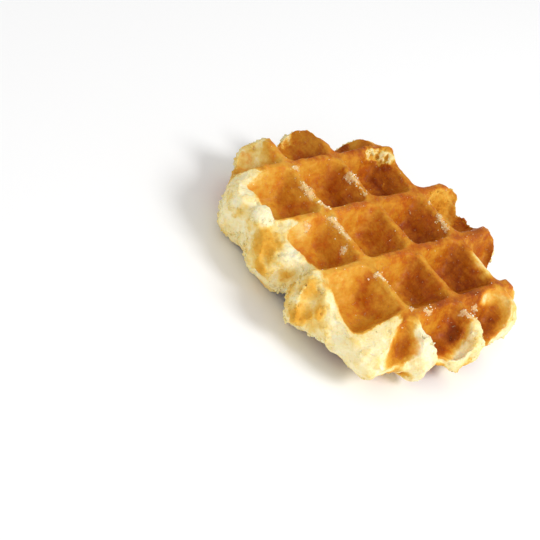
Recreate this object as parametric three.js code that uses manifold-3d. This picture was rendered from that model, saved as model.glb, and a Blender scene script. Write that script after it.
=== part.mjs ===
// A thick Belgian waffle of risen dough, pressed between two peg plates: one closed solid in millimetres.
// X runs along one set of ribs and Y along the other, +Z is up, and the origin is at the bottom centre.
import * as THREE from "three";
import { mergeVertices } from "three/addons/utils/BufferGeometryUtils.js";
import Module from "manifold-3d";

// Driving dimensions
const pitch = 25; // from rib to rib, both ways
const thickness = 25;
const pocketDepth = 10.5;
const crestWidth = 1.8; // flat land on top of a rib
const ribsPerWay = 4; // whole ribs each way; the dough ends past the outermost ones
const pocketCorner = 0.3; // corner radius of a pocket, as a share of its half width

// Pocket wall from the plate down: half width of the pocket, and depth below the plate.
const mouth = (pitch - crestWidth) / 2;
const pocketWall = [
  { half: mouth, depth: -3 },
  { half: mouth, depth: 0 },
  { half: mouth - 0.5, depth: 0.35 },
  { half: mouth - 1.05, depth: 1.3 },
  { half: 5.9, depth: pocketDepth - 1.1 },
  { half: 4.3, depth: pocketDepth },
];

// The free edge of the dough, side by side, anticlockwise. Each row is a lobe or a dent: its place along the
// side and how far the dough reached past the outermost rib, both in millimetres. The edge is rounded over a
// shoulder that is narrower on top than underneath.
const outerRib = (pitch * (ribsPerWay - 1)) / 2; // where the outermost ribs lie
const sides = [
  {
    // the near side as far as its first lobe, undercut like the notch before it
    point: (along, reach) => [along, -outerRib - reach],
    shoulder: { top: 7, under: 30 },
    rows: [[-33, 5], [-27, 9], [-20, 12]],
  },
  {
    // the rest of the near side
    point: (along, reach) => [along, -outerRib - reach],
    shoulder: { top: 9, under: 15 },
    rows: [[-12, 18], [-5, 14], [4, 20], [15, 19], [28, 15], [39, 14], [47, 9]],
  },
  {
    // the right side
    point: (along, reach) => [outerRib + reach, along],
    shoulder: { top: 8, under: 11 },
    rows: [
      [-36, 11], [-30, 8], [-20, 22], [-14, 24], [-6, 21],
      [3, 21], [10, 25], [18, 18], [28, 14],
    ],
  },
  {
    // the far side
    point: (along, reach) => [along, outerRib + reach],
    shoulder: { top: 9, under: 12 },
    rows: [
      [40, 9], [31, 12], [22, 9], [16, 12], [10, 22],
      [1, 18], [-9, 18], [-16, 19], [-24, 14], [-32, 6],
    ],
  },
  {
    // the left side
    point: (along, reach) => [-outerRib - reach, along],
    shoulder: { top: 10, under: 18 },
    rows: [[32, 7], [22, 4], [10, 9], [2, 9], [-5, 0], [-12, 9], [-20, 11]],
  },
  {
    // the notch where the left side meets the near one, undercut far in
    point: (along, reach) => [-outerRib - reach, along],
    shoulder: { top: 7, under: 36 },
    rows: [[-26, 2], [-32, -1]],
  },
];
const edgeSteps = 112;

// Places where the dough ran short of the top plate: the middle of the shallow hollow there, its radius of
// curvature and how far it sinks.
const hollows = [
  { x: -35, y: -38, radius: 40, sink: 5.5 },
  { x: -42, y: 6, radius: 30, sink: 5 },
  { x: -43, y: 19, radius: 25, sink: 5 },
  { x: -38, y: 36, radius: 40, sink: 3 },
];

// Blobs that stand proud of the ribs: where along X and Y, their radius, and how far their middle lies under
// the top. The large ones are dough that burst out, the small ones lumps of sugar.
const blobs = [
  { x: -39, y: 19, radius: 4.6, sunk: 3.9 },
  { x: 38, y: 33, radius: 4.2, sunk: 3.9 },
  { x: -24, y: 38, radius: 1.8, sunk: 1.1 },
  { x: -12, y: 23, radius: 1.8, sunk: 1.1 },
  { x: 12, y: 30, radius: 2.1, sunk: 1.3 },
  { x: -12, y: 9, radius: 2.0, sunk: 1.2 },
  { x: 12, y: -16, radius: 1.8, sunk: 1.1 },
  { x: 38, y: -2, radius: 2.0, sunk: 1.2 },
  { x: -12, y: -18, radius: 2.0, sunk: 1.2 },
];

// Smooth bumps between -1 and 1, about one to each `size` millimetres.
function bumps(x, y, z, size) {
  const k = (2 * Math.PI) / size;
  return (
    (Math.sin(k * (x + 0.4 * y) + 1.3) * Math.sin(k * (0.9 * y - 0.3 * z) + 0.4) +
      Math.sin(k * 1.7 * (y - 0.5 * x) + 2.1) * Math.sin(k * 1.6 * (z + 0.6 * x)) +
      Math.sin(k * 0.8 * (z - y) + 0.7) * Math.sin(k * 1.1 * x - 0.9)) /
    3
  );
}

// The free edge as points, each with the widths of its shoulder on top and underneath.
function edgePoints() {
  const knots = [];
  const widths = [];
  for (const { rows, point, shoulder } of sides) {
    for (const row of rows) {
      knots.push(new THREE.Vector3(...point(...row), 0));
      widths.push(new THREE.Vector3(shoulder.top, shoulder.under, 0));
    }
  }
  const line = new THREE.CatmullRomCurve3(knots, true, "centripetal");
  const widthLine = new THREE.CatmullRomCurve3(widths, true);
  return Array.from({ length: edgeSteps }, (_, i) => {
    const { x, y } = line.getPoint(i / edgeSteps);
    const { x: top, y: under } = widthLine.getPoint(i / edgeSteps);
    return { x, y, top, under };
  });
}

// The dough between two flat plates: a flat lump with a bulging, craggy edge.
function doughLump() {
  const half = thickness / 2;
  const insets = [0, 0.03, 0.1, 0.22, 0.38, 0.58, 0.8, 1]; // shares of the shoulder's width
  const shoulder = insets.map((s) => ({ inset: s, height: half * (1 - (1 - s) ** 2.2) ** (1 / 2.2) }));
  const rings = [...shoulder.map((r) => ({ ...r, height: -r.height })).reverse(), ...shoulder.slice(1)];
  const profile = [
    new THREE.Vector2(0, -half),
    ...rings.map((r) => new THREE.Vector2(2 - r.inset, r.height)),
    new THREE.Vector2(0, half),
  ];
  const lump = new THREE.LatheGeometry(profile, edgeSteps);
  const edge = edgePoints();
  const at = lump.attributes.position;
  for (let i = 0; i < at.count; i++) {
    const level = i % profile.length;
    const point = edge[Math.floor(i / profile.length) % edgeSteps];
    const ring = rings[level - 1];
    if (!ring) {
      at.setXYZ(i, 0, 0, profile[level].y);
      continue;
    }
    const reach = Math.hypot(point.x, point.y);
    const width = ring.height > 0 ? point.top : point.under;
    const free = Math.min(1, (1 - ring.inset) * 3); // the plates hold the dough flat where the shoulder ends
    const coarse = 1.3 * bumps(point.x, point.y, ring.height, 11);
    const fine = 0.6 * bumps(point.y, ring.height, point.x, 5);
    const share = (reach - ring.inset * width + free * (coarse + fine)) / reach;
    at.setXYZ(i, point.x * share, point.y * share, ring.height);
  }
  return lump;
}

// One peg of the iron, pointing down from the plate at Z = 0, with rounded corners and a filleted tip.
function peg() {
  const r = pocketCorner;
  const outline = new THREE.Shape();
  outline.moveTo(1, r - 1);
  outline.lineTo(1, 1 - r);
  outline.absarc(1 - r, 1 - r, r, 0, Math.PI / 2);
  outline.lineTo(r - 1, 1);
  outline.absarc(r - 1, 1 - r, r, Math.PI / 2, Math.PI);
  outline.lineTo(-1, r - 1);
  outline.absarc(r - 1, r - 1, r, Math.PI, 1.5 * Math.PI);
  outline.lineTo(1 - r, -1);
  outline.absarc(1 - r, r - 1, r, 1.5 * Math.PI, 2 * Math.PI);
  const shape = new THREE.ExtrudeGeometry(outline, {
    depth: pocketWall.length - 1,
    steps: pocketWall.length - 1,
    bevelEnabled: false,
    curveSegments: 2,
  });
  const at = shape.attributes.position;
  for (let i = 0; i < at.count; i++) {
    const { half, depth } = pocketWall[pocketWall.length - 1 - Math.round(at.getZ(i))];
    at.setXYZ(i, at.getX(i) * half, at.getY(i) * half, -depth);
  }
  return shape;
}

const wasm = await Module();
wasm.setup();

// A closed geometry as a solid that can be joined and cut.
function solid(geometry) {
  geometry.deleteAttribute("normal");
  geometry.deleteAttribute("uv");
  const merged = mergeVertices(geometry, 1e-4);
  return new wasm.Manifold(
    new wasm.Mesh({
      numProp: 3,
      vertProperties: merged.attributes.position.array,
      triVerts: new Uint32Array(merged.index.array),
    }),
  );
}

// The pegs of both plates, one to each cell that the dough reached.
function pegs() {
  const cells = [];
  for (let i = 0; i <= ribsPerWay; i++) {
    for (let j = 0; j <= ribsPerWay; j++) {
      const x = (i - ribsPerWay / 2) * pitch;
      const y = (j - ribsPerWay / 2) * pitch;
      const top = peg().translate(x, y, thickness / 2);
      const bottom = peg().rotateX(Math.PI).translate(x, y, -thickness / 2);
      cells.push(solid(top), solid(bottom));
    }
  }
  return cells.reduce((all, one) => all.add(one));
}

function hollow({ x, y, radius, sink }) {
  const ball = new THREE.SphereGeometry(radius, 40, 28).rotateX(Math.PI / 2);
  return solid(ball.translate(x, y, thickness / 2 + radius - sink));
}

function blob({ x, y, radius, sunk }) {
  const ball = new THREE.IcosahedronGeometry(radius, radius > 3 ? 2 : 1);
  return solid(ball.translate(x, y, thickness / 2 - sunk));
}

function waffleGeometry() {
  const slumped = hollows.reduce((dough, row) => dough.subtract(hollow(row)), solid(doughLump()));
  const pressed = blobs.reduce((dough, row) => dough.add(blob(row)), slumped.subtract(pegs()));
  const { vertProperties, numProp, triVerts } = pressed.getMesh();
  const geometry = new THREE.BufferGeometry();
  const data = new THREE.InterleavedBuffer(vertProperties, numProp);
  geometry.setAttribute("position", new THREE.InterleavedBufferAttribute(data, 3, 0));
  geometry.setIndex(new THREE.BufferAttribute(triVerts, 1));
  geometry.computeBoundingBox();
  const { min, max } = geometry.boundingBox;
  geometry.translate(-(min.x + max.x) / 2, -(min.y + max.y) / 2, -min.z);
  return geometry;
}

const crust = new THREE.MeshStandardMaterial({ color: 0xc98536, roughness: 0.55, metalness: 0 });
const waffle = new THREE.Mesh(waffleGeometry(), crust);
waffle.name = "waffle";

const part = new THREE.Group();
part.add(waffle);
export default part;
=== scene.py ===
import math
import bpy
import numpy as np
from mathutils import Matrix, Vector, kdtree, noise


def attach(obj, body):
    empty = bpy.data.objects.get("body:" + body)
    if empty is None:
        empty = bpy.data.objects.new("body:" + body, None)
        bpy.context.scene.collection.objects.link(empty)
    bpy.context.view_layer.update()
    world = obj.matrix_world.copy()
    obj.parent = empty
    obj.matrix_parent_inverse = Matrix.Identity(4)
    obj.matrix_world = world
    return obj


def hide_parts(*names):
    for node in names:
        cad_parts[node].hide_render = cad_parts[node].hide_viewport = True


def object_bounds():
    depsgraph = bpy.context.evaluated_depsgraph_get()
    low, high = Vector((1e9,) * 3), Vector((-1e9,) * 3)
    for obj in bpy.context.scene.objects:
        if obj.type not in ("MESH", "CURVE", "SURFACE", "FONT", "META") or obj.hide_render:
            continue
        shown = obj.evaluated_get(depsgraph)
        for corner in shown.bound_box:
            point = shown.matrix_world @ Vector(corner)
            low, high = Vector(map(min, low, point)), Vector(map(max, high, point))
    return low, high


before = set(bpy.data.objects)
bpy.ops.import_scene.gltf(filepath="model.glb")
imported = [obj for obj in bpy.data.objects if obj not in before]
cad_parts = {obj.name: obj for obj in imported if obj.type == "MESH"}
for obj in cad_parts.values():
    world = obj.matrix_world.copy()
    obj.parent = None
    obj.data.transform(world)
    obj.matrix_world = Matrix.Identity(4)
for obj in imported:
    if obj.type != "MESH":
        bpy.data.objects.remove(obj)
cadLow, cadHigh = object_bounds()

print("frame loaded", sorted(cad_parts))
noise.seed_set(2)  # so that noise_vector bends alike on every run

mm = 0.001
# the centre of the middle pocket: places below are mm from it, and heights mm from the floor
middle = (-6.84, -1.08)


def fromMiddle(place):
    return Vector((place[0] + middle[0], place[1] + middle[1], place[2])) * mm


# Camera, floor and lights

view = {
    "place": (-317, -170, 279),
    "aim": (-42.4, 2.1, 12.5),
    "roll": 30.8,  # degrees, clockwise as seen through the lens
    "lens": 80.0,
    "sensor": 36.0,
    "nearest": 0.01,  # metres
}


def placeCamera(view):
    bpy.ops.object.camera_add()
    camera = bpy.context.object
    camera.name = "waffleCamera"
    camera.data.lens = view["lens"]
    camera.data.sensor_width = view["sensor"]
    camera.data.clip_start = view["nearest"]
    place, aim = fromMiddle(view["place"]), fromMiddle(view["aim"])
    turn = (aim - place).to_track_quat("-Z", "Y").to_matrix().to_4x4()
    roll = Matrix.Rotation(math.radians(view["roll"]), 4, "Z")
    camera.matrix_world = Matrix.Translation(place) @ turn @ roll
    bpy.context.scene.camera = camera


placeCamera(view)

studio = {
    "floorSize": 4.0,
    "floorColour": (0.93, 0.93, 0.93),
    "floorRoughness": 0.9,
    "skyColour": (1, 1, 1),
    "skyStrength": 0.69,
    # name, place in metres, aim, size in metres, watts
    "lamps": [
        ("keySoftbox", (0.25, -0.6, 0.7), (0, 0, 0.01), 0.4, 5.4),
        ("fillSoftbox", (-0.7, -0.35, 0.25), (0, 0, 0.01), 0.5, 1.0),
    ],
}


def layStudio(studio):
    bpy.ops.object.select_all(action="DESELECT")
    bpy.ops.mesh.primitive_plane_add(size=studio["floorSize"], location=(0, 0, 0))
    floor = bpy.context.object
    floor.name = "studioFloor"
    paper = bpy.data.materials.new("floorPaper")
    paper.use_nodes = True
    base = paper.node_tree.nodes["Principled BSDF"]
    base.inputs["Base Color"].default_value = (*studio["floorColour"], 1)
    base.inputs["Roughness"].default_value = studio["floorRoughness"]
    floor.data.materials.append(paper)
    for name, place, aim, size, watts in studio["lamps"]:
        bpy.ops.object.light_add(type="AREA", location=place)
        lamp = bpy.context.object
        lamp.name = name
        lamp.data.shape = "DISK"
        lamp.data.size = size
        lamp.data.energy = watts
        lamp.rotation_euler = (Vector(aim) - Vector(place)).to_track_quat("-Z", "Y").to_euler()
    sky = bpy.data.worlds.new("studioSky")
    sky.use_nodes = True
    glow = sky.node_tree.nodes["Background"]
    glow.inputs["Color"].default_value = (*studio["skyColour"], 1)
    glow.inputs["Strength"].default_value = studio["skyStrength"]
    bpy.context.scene.world = sky
    bpy.context.scene.view_settings.view_transform = "Standard"


layStudio(studio)
print("studio ready")


# Tools for a mesh

def selectOnly(piece):
    bpy.ops.object.select_all(action="DESELECT")
    piece.select_set(True)
    bpy.context.view_layer.objects.active = piece


def applyModifier(piece, kind, **settings):
    selectOnly(piece)
    modifier = piece.modifiers.new(kind.title(), kind)
    for key, value in settings.items():
        setattr(modifier, key, value)
    bpy.ops.object.modifier_apply(modifier=modifier.name)


def copyOfNode(nodeName, pieceName, mergeDistance=0.004):
    selectOnly(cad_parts[nodeName])
    bpy.ops.object.duplicate(linked=False)
    piece = bpy.context.object
    for key in list(piece.keys()):
        del piece[key]
    piece.parent = None
    piece.name = piece.data.name = pieceName
    piece.data.materials.clear()
    bpy.ops.object.mode_set(mode="EDIT")
    bpy.ops.mesh.select_all(action="SELECT")
    bpy.ops.mesh.remove_doubles(threshold=mergeDistance * mm)
    bpy.ops.object.mode_set(mode="OBJECT")
    return piece


def placesOf(piece):
    places = np.empty(len(piece.data.vertices) * 3)
    piece.data.vertices.foreach_get("co", places)
    return places.reshape(-1, 3) / mm - np.array([*middle, 0])


def movedTo(piece, places):
    # nothing goes past the box of the plain model
    inFrame = (places + np.array([*middle, 0])) * mm
    inFrame = np.clip(inFrame, np.array(cadLow), np.array(cadHigh))
    piece.data.vertices.foreach_set("co", inFrame.astype(np.float32).ravel())
    piece.data.update()


def outwards(piece):
    normals = np.empty(len(piece.data.vertices) * 3)
    piece.data.vertex_normals.foreach_get("vector", normals)
    return normals.reshape(-1, 3)


def smoothStep(low, high, value):
    t = np.clip((value - low) / (high - low), 0, 1)
    return t * t * (3 - 2 * t)


def noiseAt(places, size, seed=0.0):
    # smooth noise, about -1 to 1
    shift = Vector((seed, seed, seed))
    return np.array([noise.noise(Vector(place) / size + shift) for place in places])


def wandered(places, size, reach):
    shift = [noise.noise_vector(Vector(place) / size) for place in places]
    return places + np.array(shift) * reach


def spotWeight(places, spots, fade):
    # each spot is x, y, z, radius and, where it isn't 1, how strong it is
    weight = np.zeros(len(places))
    core, rim = fade
    for x, y, z, radius, *strength in spots:
        distance = np.linalg.norm(places - np.array([x, y, z]), axis=1)
        peak = strength[0] if strength else 1
        weight = np.maximum(weight, peak * (1 - smoothStep(core * radius, rim * radius, distance)))
    return weight


def spreadOver(piece, values, steps, keep=0.3):
    # averages each point with its neighbours, over and over
    edges = np.empty(len(piece.data.edges) * 2, np.int32)
    piece.data.edges.foreach_get("vertices", edges)
    a, b = edges.reshape(-1, 2).T
    size = len(values)
    count = np.maximum(np.bincount(a, minlength=size) + np.bincount(b, minlength=size), 1)
    for _ in range(steps):
        near = np.bincount(a, values[b], size) + np.bincount(b, values[a], size)
        values = keep * values + (1 - keep) * near / count
    return values


def keepLayer(piece, name, values):
    layer = piece.data.attributes.new(name, "FLOAT", "POINT")
    layer.data.foreach_set("value", values.astype(np.float32))


def weightGroup(piece, name, values, levels=40):
    group = piece.vertex_groups.new(name=name)
    rounded = np.round(np.clip(values, 0, 1) * levels).astype(int)
    for level in range(1, levels + 1):
        group.add(np.nonzero(rounded == level)[0].tolist(), level / levels, "REPLACE")


def relief(piece, group, kind, size, strength, level, depth=1):
    texture = bpy.data.textures.new("relief" + group, kind)
    texture.noise_scale = size * mm
    if kind == "CLOUDS":
        texture.noise_depth = depth
    applyModifier(piece, "DISPLACE", texture=texture, strength=strength * mm, mid_level=level,
                  texture_coords="LOCAL", direction="NORMAL", vertex_group=group)


# The iron that the dough was pressed in

iron = {
    "pitch": 25.0,
    "midPlane": 12.5,
    "cornerShare": 0.3,
    "farthestCell": 2,
    "pegHalf": [0, 4.3, 5.9, 10.55, 11.1, 11.6, 30],
    "pegDepth": [10.5, 10.5, 9.4, 1.3, 0.35, 0, 0],  # at each half width
}


def cellOf(places):
    cell = np.round(places[:, :2] / iron["pitch"])
    return np.clip(cell, -iron["farthestCell"], iron["farthestCell"])


def pegAt(places):
    # offsets from the nearest pocket centre, and the half width of the rounded square through each point
    offset = np.abs(places[:, :2] - cellOf(places) * iron["pitch"])
    small, large = offset.min(axis=1), offset.max(axis=1)
    side, corner = 1 - iron["cornerShare"], iron["cornerShare"]
    total, squares = small + large, small ** 2 + large ** 2
    lead = 2 * side ** 2 - corner ** 2
    root = np.sqrt(np.maximum(4 * side ** 2 * total ** 2 - 4 * lead * squares, 0))
    return offset, np.where(small <= side * large, large, (2 * side * total - root) / (2 * lead))


def ironGap(places):
    # how far each point lies under the plate or peg nearest to it, straight up or down
    half = pegAt(places)[1]
    fromFace = iron["midPlane"] - np.abs(places[:, 2] - iron["midPlane"])
    return fromFace - np.interp(half, iron["pegHalf"], iron["pegDepth"])


def heldByIron(places, slack):
    # pushes back what would stand out of the iron
    over = np.minimum(ironGap(places) - slack, 0)
    held = places.copy()
    held[:, 2] += np.sign(iron["midPlane"] - places[:, 2]) * -over
    return held


# Sugar that melted on the crust

glaze = {
    # streaks along the ribs: from x, y to x, y, half width, grains
    "streaks": [
        (-12, 35, -9, 35.5, 1.0, 10), (-13, 27, -13.5, 21, 1.2, 26), (-13, 18, -11, 13.5, 0.8, 14),
        (11, 27, 12, 23, 1.3, 22), (11.5, 20, 11.5, 16, 0.5, 6), (-13.5, 9, -12.5, 4, 1.3, 22),
        (-13, 3, -13, -1.5, 1.0, 14), (-15, -2.5, -15.5, -4, 0.7, 8), (-25, 10, -23, 9.5, 0.7, 6),
        (37, 5, 39, 6, 0.6, 6), (37, -1, 36, -8, 0.8, 18), (-13.5, -18.5, -11.5, -22, 1.0, 18),
        (-12, -36, -10, -36.5, 0.6, 8), (-6, -38, -3, -39.5, 0.8, 9),
        (21, -41, 24, -42, 0.6, 7), (11, -43, 12.5, -48, 0.8, 14),
    ],
    "heights": (15, 19),  # mm, from no sugar to all of it
    # where a streak starts and ends to fade out, in half widths: its relief, and its colour
    "raisedFade": (0.5, 1.3),
    "colourFade": (0.4, 1.5),
    "colourWaver": (1.5, 0.8),  # size and reach in mm
    "grainSize": (0.15, 0.5),  # mm, smallest and largest radius
    "strayGrains": 110,
    "straySize": 0.4,  # beside the grains of the streaks
    "strayHeights": (18, 25),
    "lowChance": 0.15,
    "crusty": 0.9,  # how much of the crust a stray grain needs
    "uppermost": 0.3,  # the least upward slant of the dough under a grain
    "proud": 0.15,  # how far a grain's centre stands out, as a share of its radius
    "seed": 5,
}


def streakWeight(places, fade):
    core, rim = fade
    weight = np.zeros(len(places))
    for fromX, fromY, toX, toY, width, _ in glaze["streaks"]:
        along = np.array([toX - fromX, toY - fromY])
        offset = places[:, :2] - np.array([fromX, fromY])
        share = np.clip(offset @ along / (along @ along), 0, 1)
        distance = np.linalg.norm(offset - share[:, None] * along, axis=1)
        weight = np.maximum(weight, 1 - smoothStep(core * width, rim * width, distance))
    return weight * smoothStep(*glaze["heights"], places[:, 2])


# The waffle itself

dough = {
    "voxel": 0.5 * mm,
    "soften": 0.5,
    "softenSteps": 2,
    "healSteps": 30,  # where no peg reached
    "triangles": 190000,
    # places that stayed pale under the iron: x, y, z, radius
    "unpressed": [
        (-39, -3, 23, 4), (-40, -8, 23, 4), (-40, -13, 24, 4.5), (-41, -21, 23, 4.5), (-41, -29, 22, 4.5),
        (-39, -38, 21, 6), (-32, -43, 21, 4.5), (-27, -41, 22, 3), (-12, -45, 24, 3.4),
        (-12, -51, 22, 4), (13, -52, 23, 3.8), (14, -56, 20, 7), (7, -58, 15, 6), (31, 36, 24, 2.8),
        (35, 34, 24, 3.6), (38, 31, 24, 3.2), (-34, 38, 24, 5), (-39, 33, 24, 6), (-40, 26, 24, 4),
        (-38, 10, 23, 4), (-16, 54, 20, 4), (-24, 52, 12, 5), (3, 56, 18, 4), (50, 6, 18, 9),
    ],
    # the side that no peg reached
    "unreached": (-42, -39),  # mm along X, from all to none
    # the lump that burst out through the crust
    "knob": [(-38.6, 18, 24, 5.2)],
    # torn, fluffy dough: x, y, z, radius, how much
    "fluffy": [
        (31, 36, 24, 4.8, 1.2), (35, 34, 24.5, 5, 1.3), (38, 31, 24, 4.8, 1.3), (40, 28, 24, 3),
        (50, 6, 19, 9, 0.5), (-31, -38, 23, 3.6), (-28, -38.5, 23.5, 3.6), (-24, -39, 24, 3, 0.7),
        (-16, -41, 24, 3.4, 0.4), (-40, -12, 20, 5, 0.5), (-45, -6, 12, 6, 0.5), (-41, 22, 22, 4, 0.4),
        (12, -51, 19, 7, 0.6), (-13, -49, 23, 4, 0.5), (14, -57, 14, 6, 0.5),
    ],
    # size and reach, in mm, of the waver in the borders of those places
    "waver": {"knob": (2.5, 0.6), "fluffy": (2.0, 1.0), "unpressed": (3.5, 2.0)},
    # where they start and end to fade out, as shares of their radius
    "fade": {"knob": (0.7, 1.0), "fluffy": (0.6, 1.1), "unpressed": (0.4, 1.3)},
    "fluffRise": 1.3,  # mm that fluff stands out of the iron at most
    "freeGap": (0.5, 2.4),  # mm under the iron, from pressed to free
    # how crumbly the free dough is: on the near side, added towards the back, added in patches
    "crumbly": (0.35, 0.45, 0.4),
    "towardsBack": (-40, -28),  # mm along Y
    "crumblyPatches": (14, 5),  # size in mm and seed
    "patchEdges": (-0.3, 0.4),
    # relief: vertex group, kind, size and strength in mm, the level that moves nothing, detail of clouds
    "relief": [
        ("Sunk", "CLOUDS", 6, 1.2, 0.95),
        ("Open", "CLOUDS", 9, 1.8, 0.5),
        ("Rough", "CLOUDS", 3.4, 1.5, 0.5, 2),
        ("Rough", "VORONOI", 1.8, -0.7, 0.45),
        ("Knob", "CLOUDS", 2.2, 0.8, 0.4),
        ("Fluffy", "CLOUDS", 2.6, 2.6, 0.4, 2),
        ("Fluffy", "VORONOI", 1.5, -1.0, 0.5),
        ("Pressed", "CLOUDS", 7, 0.8, 0.7),
        ("Pressed", "CLOUDS", 1.8, 0.3, 0.6, 2),
    ],
    "sugarRelief": ("Sugared", "CLOUDS", 1.3, 0.5, 0.25),
    # dough that bulges or sags: x, y, z, radius, and by how much along X, Y and Z
    "bulges": [
        (-22, -48, 9, 7, 0, -1.6, -0.8), (-20, -51, 5, 4, 0, 1.5, 1), (39, 33, 24, 6, 2.4, 1.6, 0.8),
    ],
    "bulgeFade": (0.1, 1.1),
    # bubbles that burst: x, y, z, radius
    "pores": [
        (-40, -17, 23, 0.8), (-39, -19, 22.5, 0.6), (-14, -47, 24, 0.9), (-24, -38, 22.5, 0.7),
        (-39.5, 17, 26, 0.45), (-37.5, 18.5, 26, 0.4), (-38.6, 20.5, 26, 0.35),
    ],
    "morePores": 60,
    "poreSize": (0.5, 1.1),  # mm, smallest and largest radius
    "poreWall": (0.3, 1.2),  # from its floor to its rim, in radii
    "poreDepth": 1.3,  # in radii
    "poreSeed": 7,
    "free": 0.8,  # how free the dough is where pores burst
    # the pocket at the torn corner is wider towards its open sides
    "torn": {"centre": (-25, -25), "corner": (-37.5, -37.5), "reach": (7, 20), "share": 0.3},
    # waves over the whole waffle: size and reach in mm
    "waves": [(9.0, 0.6), (3.0, 0.25)],
}


def unreached(places):
    return 1 - smoothStep(*dough["unreached"], places[:, 0])


def placeWeight(places, kind):
    # how much each point belongs to the places of one kind
    return spotWeight(wandered(places, *dough["waver"][kind]), dough[kind], dough["fade"][kind])


def crumbliness(places):
    near, back, patches = dough["crumbly"]
    crumbly = near + back * smoothStep(*dough["towardsBack"], places[:, 1])
    return crumbly + patches * smoothStep(*dough["patchEdges"], noiseAt(places, *dough["crumblyPatches"]))


def tornWider(places):
    torn = dough["torn"]
    offset = places[:, :2] - np.array(torn["centre"])
    distance = np.linalg.norm(places[:, :2] - np.array(torn["corner"]), axis=1)
    weight = torn["share"] * (1 - smoothStep(*torn["reach"], distance))
    wider = places.copy()
    wider[:, :2] += np.minimum(offset, 0) * weight[:, None]
    return wider


def bulged(places):
    moved = places.copy()
    for *spot, alongX, alongY, alongZ in dough["bulges"]:
        weight = spotWeight(places, [spot], dough["bulgeFade"])
        moved += weight[:, None] * np.array([alongX, alongY, alongZ])
    return moved


def weighDough(waffle):
    # makes the vertex groups, and tells how far points may leave the iron and how free they are
    places = placesOf(waffle)
    gap = ironGap(places)
    knob = placeWeight(places, "knob")
    fluff = placeWeight(places, "fluffy")
    slack = np.minimum(gap, 0) - np.maximum(knob, dough["fluffRise"] * fluff)
    loose = np.maximum(placeWeight(places, "unpressed"), unreached(places))
    free = np.maximum(smoothStep(*dough["freeGap"], gap), np.maximum(loose, knob))
    weights = {
        "Open": free * (1 - knob),
        "Rough": free * (1 - knob) * crumbliness(places),
        "Sunk": loose * (1 - knob),
        "Knob": knob,
        "Fluffy": fluff,
        "Pressed": 1 - free,
        "Sugared": streakWeight(places, glaze["raisedFade"]),
    }
    for name, values in weights.items():
        weightGroup(waffle, name, values)
    return slack, free


def burstPores(waffle, free):
    random = np.random.default_rng(dough["poreSeed"])
    places = placesOf(waffle)
    openPoints = np.nonzero(free > dough["free"])[0]
    found = places[random.choice(openPoints, dough["morePores"], replace=False)]
    radii = random.uniform(*dough["poreSize"], len(found))
    inwards = -outwards(waffle)
    for x, y, z, radius in dough["pores"] + [(*place, radius) for place, radius in zip(found, radii)]:
        distance = np.linalg.norm(places - np.array([x, y, z]), axis=1)
        fromPore = np.linalg.norm(places - places[distance.argmin()], axis=1)
        floor, rim = dough["poreWall"]
        dip = 1 - smoothStep(floor * radius, rim * radius, fromPore)
        places = places + inwards * (dip * radius * dough["poreDepth"])[:, None]
    movedTo(waffle, places)


def bakeDough():
    waffle = copyOfNode("waffle", "bakedWaffle")
    waffle.data.remesh_voxel_size = dough["voxel"]
    bpy.ops.object.voxel_remesh()
    applyModifier(waffle, "SMOOTH", factor=dough["soften"], iterations=dough["softenSteps"])
    weightGroup(waffle, "Unreached", unreached(placesOf(waffle)))
    applyModifier(waffle, "SMOOTH", factor=dough["soften"], iterations=dough["healSteps"],
                  vertex_group="Unreached")
    print("waffle remeshed", len(waffle.data.polygons))
    slack, free = weighDough(waffle)
    for row in dough["relief"]:
        relief(waffle, *row)
    movedTo(waffle, bulged(heldByIron(placesOf(waffle), slack)))
    relief(waffle, *dough["sugarRelief"])
    waffle.vertex_groups.clear()
    burstPores(waffle, free)
    triangles = sum(len(face.vertices) - 2 for face in waffle.data.polygons)
    applyModifier(waffle, "DECIMATE", ratio=dough["triangles"] / triangles)
    print("waffle shaped", len(waffle.data.polygons))
    return waffle


# How brown each point of the waffle is, with painted shade and light in the pockets of the crust, kept on its
# mesh as named layers

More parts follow.
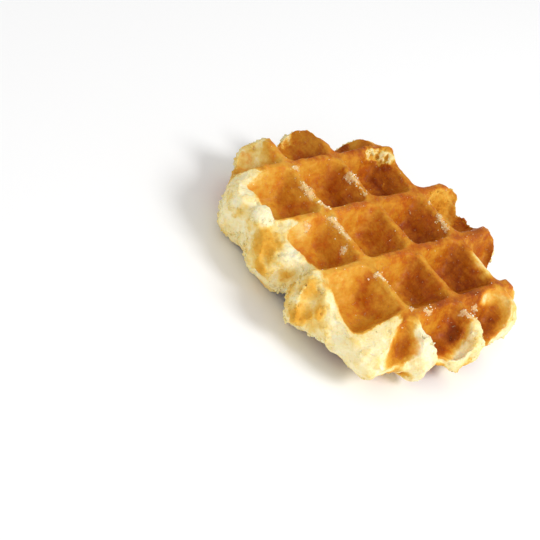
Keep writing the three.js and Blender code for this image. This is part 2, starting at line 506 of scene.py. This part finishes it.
toast = {
    # dough that no iron touched but took some colour: x, y, z, radius, how brown
    "tanned": [
        (-44, 26, 18, 4.5, 0.27), (-41, 13, 20, 3, 0.27), (-43, 9, 20, 9, 0.31), (-48, 4, 12, 7, 0.27),
        (-40, -4, 14, 5, 0.27), (-44, -10, 16, 5, 0.27), (-42, -16, 21, 5, 0.3), (-46, -20, 15, 6, 0.3),
        (-41, -23, 19, 4, 0.27), (50, 6, 18, 11, 0.42), (50, -13, 20, 9, 0.4), (-20, 49, 17, 7, 0.32),
        (36, -46, 20, 6, 0.2), (-30, 47, 15, 7, 0.27), (-43, -27, 12, 4, 0.27), (10, -58, 8, 6, 0.27),
        (-23, -49.5, 8, 4.5, 0.6), (-18.5, -51, 6, 4.5, 0.6),
    ],
    # open dough that stayed the palest: x, y, z, radius
    "raw": [(-39, 1.5, 21, 4.5), (-39, -4, 22, 3.5), (-13, -51, 22, 5), (-12, -46, 24, 3)],
    # places where the crust is lighter or darker than round about: x, y, z, radius, change
    "shades": [
        (38.2, -23, 24, 2.6, -0.45), (38.4, -27, 23.8, 3.4, -0.5), (38, -30.5, 23.4, 3.4, -0.5),
        (27, -40, 22.5, 3, -0.4), (31, -40, 22.5, 3.5, -0.45), (36, -39.5, 23, 3, -0.35),
        (39, -45, 22, 5.5, -0.45), (38, -52, 17, 6.5, -0.45), (33, -45, 20, 6, -0.15),
        (-18, 50, 17, 8, -0.34), (50, -13, 22, 8, 0.1), (-25, -37.5, 24, 6, 0.22),
        (34, -20, 18, 7, 0.03), (9, -48, 17, 4.5, 0.16), (-22, -50, 14, 5, 0.08),
        (-25, 8.5, 21, 5, -0.12), (5, -18, 18, 5, -0.08), (8, 51, 19, 7, -0.14),
        (22, -38, 24, 5, 0.16), (0, -38, 24, 6, 0.12), (25, 0, 15, 8, 0.05), (0, -50, 14, 7, 0.12),
        (-12, -25, 20, 5, -0.06), (-20, -45, 17, 6, 0.12), (33, 46, 20, 4, -0.28),
    ],
    "waver": (4.0, 1.6),  # size and reach, in mm, of the waver in all borders
    # where places start and end to fade out, as shares of their radius
    "fade": {
        "knob": (0.75, 1.05),
        "unpressed": (0.45, 1.35),
        "tanned": (0.2, 1.25),
        "raw": (0.4, 1.3),
        "shades": (0.3, 1.3),
    },
    "touching": (0.3, 2.0),  # mm under the iron, from crust to open dough
    "touchWaver": (2.5, 0.35),
    "bumpSteps": 12,  # neighbour averages that level a bump
    "bumpHeight": 0.35,  # mm
    "rimSteps": 60,  # neighbour averages that carry the pale rim into the crust
}

# how brown the crust is, with painted shade and painted light in its pockets
crustToast = {
    "alongX": [-38, -25, 0, 25, 42, 58],
    "brown": [0.35, 0.43, 0.53, 0.63, 0.62, 0.56],  # at each of those places
    "palest": 0.12,
    "crest": (10.2, 11.8),  # mm from a pocket's middle to the slope and to the top of a rib
    "mouth": 10.8,  # mm, half the width of a pocket
    "wall": 5.5,  # mm from there down to where the painted shade of a pocket's depth is full
    "fromMiddle": (2, 8),  # mm, from the floor of a pocket to its wall, where the walls' painted shade and light fade in
    "nearSide": (-27, -41),  # mm along Y
    # what each of these adds; the darker depths of the pockets and their walls that face away from the key
    # lamp are painted shade, and the lighter walls that face the lamp are painted light
    "shares": {
        "crestAcross": 0.08, "crestAlong": 0.02, "deepPaintedShade": 0.12, "shadedWallPaintedShade": 0.1, "litWallPaintedLight": -0.03, "near": 0.06,
    },
    # the pale rim ends where so much of the dough round about is crust; the second numbers are added near by
    "nearRim": (-41, -38),  # mm along Y
    "rimStart": (0.1, 0.25),
    "rimEnd": (0.55, 0.4),
}

openToast = {
    "palest": 0.08,
    "bumps": 0.06,
    "pits": 0.35,  # in fluffy dough
    "leftSide": (-40, -36),  # mm along X
    "left": 0.01,
    "mottled": 0.1,
    "mottle": (7, 9),  # size in mm and seed
    "mottleEdges": (-0.1, 0.5),
    "scorched": 0.12,  # beside the iron
    "scorchReach": 2.0,  # mm
    "looseSpared": 0.6,
    "rawSpared": 0.85,
}


def bumpsOf(waffle, places):
    # from -1 in a pit to 1 on a bump
    level = np.stack([spreadOver(waffle, axis, toast["bumpSteps"]) for axis in places.T], axis=1)
    height = ((places - level) * outwards(waffle)).sum(axis=1)
    return np.clip(height / toast["bumpHeight"], -1, 1)


# toast of the crust, with painted shade and painted light on the pocket walls and depths
def crustBrownAndPaintedShade(places, strayed, inner):
    offset, half = pegAt(places)
    inPocket = (half < crustToast["mouth"])[:, None]
    fromCentre = (places[:, :2] - cellOf(places) * iron["pitch"]) * inPocket
    weights = {
        "crestAcross": smoothStep(*crustToast["crest"], offset[:, 1]),
        "crestAlong": smoothStep(*crustToast["crest"], offset[:, 0]),
        # painted shade deep in the pockets, painted shade on the walls facing away from the key lamp, painted
        # light on the walls facing it
        "deepPaintedShade": np.clip((crustToast["mouth"] - half) / crustToast["wall"], 0, 1),
        "shadedWallPaintedShade": smoothStep(*crustToast["fromMiddle"], fromCentre[:, 0]),
        "litWallPaintedLight": smoothStep(*crustToast["fromMiddle"], fromCentre[:, 1]),
        "near": smoothStep(*crustToast["nearSide"], places[:, 1]),
    }
    brown = np.interp(places[:, 0], crustToast["alongX"], crustToast["brown"])
    for name, weight in weights.items():
        brown = brown + crustToast["shares"][name] * weight
    for *spot, change in toast["shades"]:
        brown = brown + change * spotWeight(strayed, [spot], toast["fade"]["shades"])
    nearRim = 1 - smoothStep(*crustToast["nearRim"], places[:, 1])
    (start, startNear), (end, endNear) = crustToast["rimStart"], crustToast["rimEnd"]
    rim = smoothStep(start + startNear * nearRim, end + endNear * nearRim, inner)
    return np.maximum(brown, crustToast["palest"]) * rim


def openBrown(places, strayed, gap, bumps, loose, knob):
    fade = toast["fade"]
    leftSide = 1 - smoothStep(*openToast["leftSide"], places[:, 0])
    mottled = smoothStep(*openToast["mottleEdges"], noiseAt(places, *openToast["mottle"]))
    tan = spotWeight(strayed, toast["tanned"], fade["tanned"])
    brown = openToast["palest"] + tan + openToast["bumps"] * bumps
    brown = brown + leftSide * (openToast["left"] + openToast["mottled"] * mottled)
    scorched = openToast["scorched"] * np.exp(-np.maximum(gap, 0) / openToast["scorchReach"])
    brown = brown + scorched * (1 - unreached(places)) * (1 - openToast["looseSpared"] * loose)
    brown = brown + openToast["pits"] * placeWeight(places, "fluffy") * np.clip(-bumps, 0, 1)
    raw = np.maximum(knob, spotWeight(strayed, toast["raw"], fade["raw"]))
    return brown * (1 - openToast["rawSpared"] * raw)


def toastDough(waffle):
    places = placesOf(waffle)
    strayed = wandered(places, *toast["waver"])
    knobStrayed = wandered(places, *dough["waver"]["knob"])
    knob = spotWeight(knobStrayed, dough["knob"], toast["fade"]["knob"])
    loose = np.maximum(spotWeight(strayed, dough["unpressed"], toast["fade"]["unpressed"]), knob)
    loose = np.maximum(loose, unreached(strayed))
    gap = ironGap(places)
    waverSize, waverReach = toast["touchWaver"]
    wavered = gap + waverReach * noiseAt(places, waverSize)
    touched = (1 - smoothStep(*toast["touching"], wavered)) * (1 - loose)
    bumps = bumpsOf(waffle, places)
    inner = spreadOver(waffle, touched, toast["rimSteps"])
    layers = {
        "touched": touched,
        "crustToast": crustBrownAndPaintedShade(places, strayed, inner),
        "openToast": openBrown(places, strayed, gap, bumps, loose, knob),
        "sugar": streakWeight(wandered(places, *glaze["colourWaver"]), glaze["colourFade"]),
    }
    for name, values in layers.items():
        keepLayer(waffle, name, values)
    return bumps, layers


def warpDough(waffle):
    places = tornWider(placesOf(waffle))
    for size, reach in dough["waves"]:
        places = wandered(places, size, reach)
    movedTo(waffle, places)
    selectOnly(waffle)
    bpy.ops.object.shade_smooth()


waffle = bakeDough()
bumps, layers = toastDough(waffle)
warpDough(waffle)
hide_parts("waffle")
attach(waffle, "root")
print("waffle baked")


# Crumbs and sugar grains: small balls bent out of shape, joined into one mesh for each kind

crumbs = {
    "count": 1500,
    "size": (0.25, 0.85),  # mm, smallest and largest radius
    "clumps": (7.0, 3),  # size in mm and seed
    "clumpEdges": (-0.1, 0.5),
    "strayShare": 0.1,  # beside the clumps and off the bumps
    "bumps": (0, 0.7),
    "nearShare": 0.35,
    "towardsBack": (-38, -28),  # mm along Y
    "slant": (0.2, 0.8),  # from the upright sides, where crumbs are, to the flat faces
    "lowest": 4,  # mm
    "sunk": 0.1,  # how far a crumb's centre is in the dough, as a share of its radius
    "seed": 11,
}

balls = {
    "bent": (0.6, 1.25),  # how far each corner is out, in radii
    "stretched": (0.5, 1.2),  # along X, Y and Z
}


def smallBall():
    bpy.ops.mesh.primitive_ico_sphere_add(subdivisions=1, radius=1)
    ball = bpy.context.object
    corners = np.array([corner.co for corner in ball.data.vertices])
    faces = np.array([face.vertices for face in ball.data.polygons])
    bpy.data.objects.remove(ball)
    return corners, faces


def scattered(name, shape, centres, radii, random):
    corners, faces = shape
    count = len(centres)
    bent = corners * random.uniform(*balls["bent"], (count, len(corners), 1))
    stretched = bent * random.uniform(*balls["stretched"], (count, 1, 3)) * radii[:, None, None]
    points = (stretched + centres[:, None]).reshape(-1, 3)
    joined = faces + (np.arange(count) * len(corners))[:, None, None]
    mesh = bpy.data.meshes.new(name)
    mesh.from_pydata(points.tolist(), [], joined.reshape(-1, 3).tolist())
    piece = bpy.data.objects.new(name, mesh)
    bpy.context.collection.objects.link(piece)
    movedTo(piece, points)
    return piece


def scatterCrumbs(waffle, bumps, layers):
    random = np.random.default_rng(crumbs["seed"])
    places, normals = placesOf(waffle), outwards(waffle)
    clumps = smoothStep(*crumbs["clumpEdges"], noiseAt(places, *crumbs["clumps"]))
    onBumps = crumbs["strayShare"] + smoothStep(*crumbs["bumps"], bumps)
    backwards = crumbs["nearShare"] + smoothStep(*crumbs["towardsBack"], places[:, 1])
    upright = 1 - smoothStep(*crumbs["slant"], np.abs(normals[:, 2]))
    rim = onBumps * backwards * upright
    above = places[:, 2] > crumbs["lowest"]
    chance = (1 - layers["touched"]) * (crumbs["strayShare"] + clumps) * rim * above
    host = random.choice(len(places), crumbs["count"], replace=False, p=chance / chance.sum())
    smallest, largest = crumbs["size"]
    radii = smallest + (largest - smallest) * random.random(len(host)) ** 2
    centres = places[host] - normals[host] * (crumbs["sunk"] * radii)[:, None]
    shape = smallBall()
    piece = scattered("doughCrumbs", shape, centres, radii, random)
    for name, values in layers.items():
        keepLayer(piece, name, np.repeat(values[host] * (name != "sugar"), len(shape[0])))
    selectOnly(piece)
    bpy.ops.object.shade_smooth()
    return piece


def scatterGrains(waffle, layers):
    random = np.random.default_rng(glaze["seed"])
    places, normals = placesOf(waffle), outwards(waffle)
    upper = np.nonzero((normals[:, 2] > glaze["uppermost"]) & (places[:, 2] > iron["midPlane"]))[0]
    tree = kdtree.KDTree(len(upper))
    for i in upper:
        tree.insert((*places[i, :2], 0), int(i))
    tree.balance()
    host = []
    for fromX, fromY, toX, toY, width, count in glaze["streaks"]:
        share = random.random((count, 1))
        spots = np.array([fromX, fromY]) + share * np.array([toX - fromX, toY - fromY])
        spots = spots + random.normal(0, width, (count, 2))
        host += [tree.find((*spot, 0))[1] for spot in spots]
    crusty = upper[layers["touched"][upper] > glaze["crusty"]]
    chance = glaze["lowChance"] + smoothStep(*glaze["strayHeights"], places[crusty, 2])
    stray = random.choice(crusty, glaze["strayGrains"], replace=False, p=chance / chance.sum())
    smallest, largest = glaze["grainSize"]
    spread = np.repeat([1, glaze["straySize"]], [len(host), len(stray)])
    host = np.concatenate([host, stray])
    radii = smallest + spread * (largest - smallest) * random.random(len(host)) ** 2
    centres = places[host] + normals[host] * (glaze["proud"] * radii)[:, None]
    return scattered("sugarGrains", smallBall(), centres, radii, random)


doughCrumbs = scatterCrumbs(waffle, bumps, layers)
sugarGrains = scatterGrains(waffle, layers)
for piece in (doughCrumbs, sugarGrains):
    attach(piece, "root")
print("crumbs and grains scattered", len(doughCrumbs.data.polygons), len(sugarGrains.data.polygons))


# Crust and crumb

class Wire:
    # a socket that can be added to, multiplied and so on, each adding its node

    def __init__(self, tree, socket=None):
        self.tree, self.socket = tree, socket

    def node(self, kind, settings=None, sockets=None, out=0):
        made = self.tree.nodes.new("ShaderNode" + kind)
        for key, value in (settings or {}).items():
            if key == "stops":
                ramp = made.color_ramp.elements
                while len(ramp) < len(value):
                    ramp.new(0.5)
                for element, (place, colour) in zip(ramp, value):
                    element.position, element.color = place, (*colour, 1)
            else:
                setattr(made, key, value)
        for key, value in (sockets or {}).items():
            if isinstance(value, Wire):
                self.tree.links.new(value.socket, made.inputs[key])
            else:
                made.inputs[key].default_value = value
        return Wire(self.tree, made.outputs[out])

    def maths(self, operation, first, second):
        return self.node("Math", {"operation": operation}, {0: first, 1: second})

    def __add__(self, other):
        return self.maths("ADD", self, other)

    __radd__ = __add__

    def __sub__(self, other):
        return self.maths("SUBTRACT", self, other)

    def __rsub__(self, other):
        return self.maths("SUBTRACT", other, self)

    def __mul__(self, other):
        return self.maths("MULTIPLY", self, other)

    __rmul__ = __mul__

    def steps(self, low, high, lowValue=0.0, highValue=1.0):
        ends = {"From Min": low, "From Max": high, "To Min": lowValue, "To Max": highValue}
        return self.node("MapRange", {"interpolation_type": "SMOOTHSTEP"}, {"Value": self, **ends})

    def mixed(self, first, second):
        # from one colour to the other as this goes from 0 to 1
        return self.node("Mix", {"data_type": "RGBA"}, {"Factor": self, 6: first, 7: second}, out=2)

    def feeds(self, shader, name):
        self.tree.links.new(self.socket, shader.inputs[name])


def blotches(start, size, stretch=(1, 1, 1), detail=3.0, rough=0.55):
    place = start.node("TexCoord", out="Object")
    place = start.node("VectorMath", {"operation": "MULTIPLY"}, {0: place, 1: stretch})
    sockets = {"Vector": place, "Scale": 1 / (size * mm), "Detail": detail, "Roughness": rough}
    return start.node("TexNoise", {}, sockets) - 0.5


def newMaterial(name, uniform):
    material = bpy.data.materials.new(name)
    material.use_nodes = True
    shader = material.node_tree.nodes["Principled BSDF"]
    for socket, value in uniform.items():
        shader.inputs[socket].default_value = value
    return material, shader, Wire(material.node_tree)


crust = {
    # albedo from raw dough to nearly burnt
    "stops": [
        (0.00, (0.92, 0.85, 0.58)),
        (0.10, (0.90, 0.77, 0.42)),
        (0.22, (0.83, 0.60, 0.19)),
        (0.38, (0.74, 0.40, 0.055)),
        (0.54, (0.64, 0.27, 0.020)),
        (0.70, (0.47, 0.135, 0.006)),
        (0.85, (0.29, 0.06, 0.003)),
        (1.00, (0.14, 0.025, 0.002)),
    ],
    "ruddy": (1.02, 0.84, 0.8),
    "sugared": (0.97, 0.77, 0.40),
    "sugarCover": 0.55,
    # patterns: size in mm, stretch, detail
    "patterns": {
        "patches": (12.0,),
        "mottle": (3.0,),
        "grain": (0.8, (1, 1, 1), 2.0),
        "layers": (0.9, (0.1, 0.1, 1), 2.0),
        "blush": (6.0,),
    },
    "blisterSize": 1.6,
    # how much of each pattern goes into each mask
    "shares": {
        "ragged": {"mottle": 0.4, "grain": 0.4},
        "crustToast": {"patches": 0.35, "mottle": 0.3, "grain": 0.18, "layers": 0.12},
        "openToast": {"patches": 0.12, "mottle": 0.2, "grain": 0.14},
        "blush": {"mottle": 0.4},
        "sugar": {"mottle": 1.2, "grain": 2.2},
        "blistered": {"patches": 1},
        "roughness": {"ragged": -0.24, "grain": 0.2, "sugar": -0.3},
        "coat": {"blisters": 0.12, "sugar": 0.25},
        "height": {"mottle": 0.5, "sugar": 0.4, "blisters": 0.25},
    },
    # from where to where a mask goes from 0 to 1
    "edges": {"ragged": (0.2, 0.8), "blush": (-0.05, 0.2), "sugar": (0.3, 1.0), "blistered": (0.0, 0.25)},
    "blisterEdges": (0.1, 0.45, 1, 0),
    "roughness": 0.74,  # of open dough
    "coat": 0.07,  # on the crust
    "grainHeight": (1.2, 0.6),  # on open dough, and how much less on the crust
    "bump": {"Distance": 0.5 * mm, "Strength": 0.7},
    "uniform": {
        "Specular IOR Level": 0.08,
        "Subsurface Weight": 0.2,
        "Subsurface Radius": (1.0, 0.5, 0.2),
        "Subsurface Scale": 2.0 * mm,
        "Coat Roughness": 0.3,
    },
}


def blisterPattern(start, size):
    place = start.node("TexCoord", out="Object")
    cells = start.node("VectorMath", {"operation": "SCALE"}, {0: place, "Scale": 1 / (size * mm)})
    return start.node("TexVoronoi", {"feature": "SMOOTH_F1"}, {"Vector": cells, "Scale": 1.0})


def bakedMaterial(crust):
    material, shader, start = newMaterial("bakedDough", crust["uniform"])
    found = {name: blotches(start, *row) for name, row in crust["patterns"].items()}

    def layer(name):
        return start.node("Attribute", {"attribute_name": name}, out="Fac")

    def withShares(value, mask):
        for name, share in crust["shares"][mask].items():
            value = value + found[name] * share
        return value

    def maskOf(value, mask):
        return withShares(value, mask).steps(*crust["edges"][mask])

    ragged = found["ragged"] = maskOf(layer("touched"), "ragged")
    melted = found["sugar"] = maskOf(layer("sugar"), "sugar")
    blisters = blisterPattern(start, crust["blisterSize"]).steps(*crust["blisterEdges"])
    found["blisters"] = blisters * maskOf(found["mottle"], "blistered") * ragged
    onCrust = withShares(layer("crustToast"), "crustToast")
    onOpen = withShares(layer("openToast"), "openToast")
    # the crust's layer brings its painted shade and painted light in the pockets along with its toast
    toastAndPaintedShade = onOpen + (onCrust - onOpen) * ragged
    golden = start.node("ValToRGB", {"stops": crust["stops"]}, {"Fac": toastAndPaintedShade})
    ruddy = start.node("VectorMath", {"operation": "MULTIPLY"}, {0: golden, 1: crust["ruddy"]})
    brown = (maskOf(found["blush"], "blush") * ragged).mixed(golden, ruddy)
    colour = (melted * ragged * crust["sugarCover"]).mixed(brown, (*crust["sugared"], 1))
    colour.feeds(shader, "Base Color")
    withShares(crust["roughness"], "roughness").feeds(shader, "Roughness")
    withShares(ragged * crust["coat"], "coat").feeds(shader, "Coat Weight")
    openHeight, crustLess = crust["grainHeight"]
    height = withShares(found["grain"] * (openHeight - ragged * crustLess), "height")
    start.node("Bump", {}, {"Height": height, **crust["bump"]}).feeds(shader, "Normal")
    return material


sugar = {
    "amber": (0.95, 0.74, 0.42),
    "clear": (0.98, 0.9, 0.7),
    "cloudSize": 1.2,  # mm
    "cloudEdges": (-0.12, 0.16),
    "roughness": (0.3, 0.15),  # of amber, and how much less where it's clear
    "uniform": {
        "Coat Weight": 0.5,
        "Coat Roughness": 0.1,
        "Subsurface Weight": 0.3,
        "Subsurface Scale": 0.5 * mm,
    },
}


def sugarMaterial(sugar):
    material, shader, start = newMaterial("meltedSugar", sugar["uniform"])
    cloud = blotches(start, sugar["cloudSize"]).steps(*sugar["cloudEdges"])
    cloud.mixed((*sugar["amber"], 1), (*sugar["clear"], 1)).feeds(shader, "Base Color")
    amberRoughness, clearLess = sugar["roughness"]
    (amberRoughness - cloud * clearLess).feeds(shader, "Roughness")
    return material


baked = bakedMaterial(crust)
waffle.data.materials.append(baked)
doughCrumbs.data.materials.append(baked)
sugarGrains.data.materials.append(sugarMaterial(sugar))
print("crust painted")
